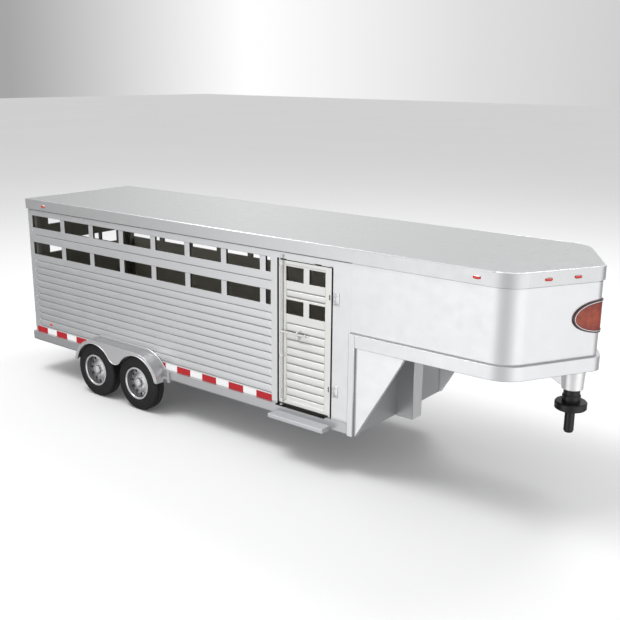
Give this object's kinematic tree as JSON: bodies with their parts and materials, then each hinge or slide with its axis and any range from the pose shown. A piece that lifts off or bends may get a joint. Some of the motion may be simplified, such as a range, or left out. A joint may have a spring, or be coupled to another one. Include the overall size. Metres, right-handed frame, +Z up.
{
  "type": "scale model livestock trailer",
  "caption": "Scale model gooseneck livestock trailer with slatted window walls, V nose, tandem wheels, swinging side door and rear gate, cam latches and hitch peg.",
  "frame": {"origin": "on the ground under the middle of the trailer's length and width", "axes": "+X forward towards the nose, +Y to the trailer's left, +Z up; the side door is on the -Y side"},
  "size_m": [0.4434, 0.124, 0.1401],
  "materials": {
    "silver_shell": "satin metallic silver paint on moulded plastic, dark unpainted inside",
    "silver_door": "satin silver paint, slightly warmer",
    "wheel_silver": "bright silver paint",
    "tyre_black": "matt black",
    "dark_plastic": "unpainted dark moulded plastic",
    "black_plastic": "semi-gloss black",
    "steel": "plain drawn wire",
    "red_lens": "glossy red-orange",
    "tape_red": "printed reflective strip",
    "tape_white": "printed reflective strip",
    "badge_rim": "dark maroon gloss",
    "badge_field": "plain orange-red gloss, no lettering"
  },
  "bodies": {
    "trailer": {"assembly_screws": "steel", "axle_carrier_left": "dark_plastic", "axle_carrier_right": "dark_plastic", "badge_field_plate": "badge_field", "badge_rim_plate": "badge_rim", "cam_keepers": "silver_shell", "corner_post_left": "silver_shell", "corner_post_right": "silver_shell", "coupler_brace": "silver_shell", "coupler_tube": "silver_shell", "entry_step": "silver_shell", "fender_left": "silver_shell", "fender_right": "silver_shell", "floor_pan": "silver_shell", "front_bulkhead": "silver_shell", "gusset_left": "silver_shell", "gusset_right": "silver_shell", "hitch_pin": "black_plastic", "jack_column": "silver_shell", "marker_lights": "red_lens", "nose_pan": "silver_shell", "nose_shell": "silver_shell", "rear_header": "silver_shell", "rear_hinge_pins": "steel", "rear_post_left": "silver_shell", "rear_post_right": "silver_shell", "rear_wall_knuckles": "silver_shell", "roof": "silver_shell", "side_hinge_barrels": "silver_shell", "side_lights": "red_lens", "side_panel_left": "silver_shell", "side_panel_right": "silver_shell", "tail_lights": "red_lens", "tape_red_blocks": "tape_red", "tape_white_blocks": "tape_white", "wall_rivets": "silver_shell"},
    "front_axle": {"axle_front": "steel", "tyre_front_right": "tyre_black", "tyre_front_left": "tyre_black", "rim_front_right": "wheel_silver", "rim_front_left": "wheel_silver"},
    "rear_axle": {"axle_rear": "steel", "tyre_rear_right": "tyre_black", "tyre_rear_left": "tyre_black", "rim_rear_right": "wheel_silver", "rim_rear_left": "wheel_silver"},
    "side_door": {"side_door": "silver_door", "side_rod_guides": "silver_door", "lever_keeper": "silver_door"},
    "side_latch": {"side_latch_rod": "steel", "side_latch_lever": "silver_door"},
    "rear_gate": {"rear_gate": "silver_shell", "rear_gate_knuckles": "silver_shell", "rear_rod_guides": "silver_shell"},
    "rear_latch": {"rear_latch_rod": "steel", "rear_latch_lever": "silver_shell"}
  },
  "joints": [
    {"name": "front_axle_spin", "type": "hinge", "parent": "trailer", "child": "front_axle", "pos_m": [-0.0876, 0, 0.0201], "axis": [0, 1, 0], "continuous": true},
    {"name": "rear_axle_spin", "type": "hinge", "parent": "trailer", "child": "rear_axle", "pos_m": [-0.1333, 0, 0.0201], "axis": [0, 1, 0], "continuous": true},
    {"name": "side_door_swing", "type": "hinge", "parent": "trailer", "child": "side_door", "pos_m": [0.0772, -0.05, 0.08], "axis": [0, 0, 1], "range_deg": [0, 120]},
    {"name": "side_latch_turn", "type": "hinge", "parent": "side_door", "child": "side_latch", "pos_m": [0.0406, -0.0521, 0.0816], "axis": [0, 0, -1], "range_deg": [0, 90]},
    {"name": "rear_gate_swing", "type": "hinge", "parent": "trailer", "child": "rear_gate", "pos_m": [-0.22045, 0.0503, 0.08], "axis": [0, 0, -1], "range_deg": [0, 240]},
    {"name": "rear_latch_turn", "type": "hinge", "parent": "rear_gate", "child": "rear_latch", "pos_m": [-0.2198, -0.046, 0.0816], "axis": [0, 0, 1], "range_deg": [0, 90]}
  ]
}
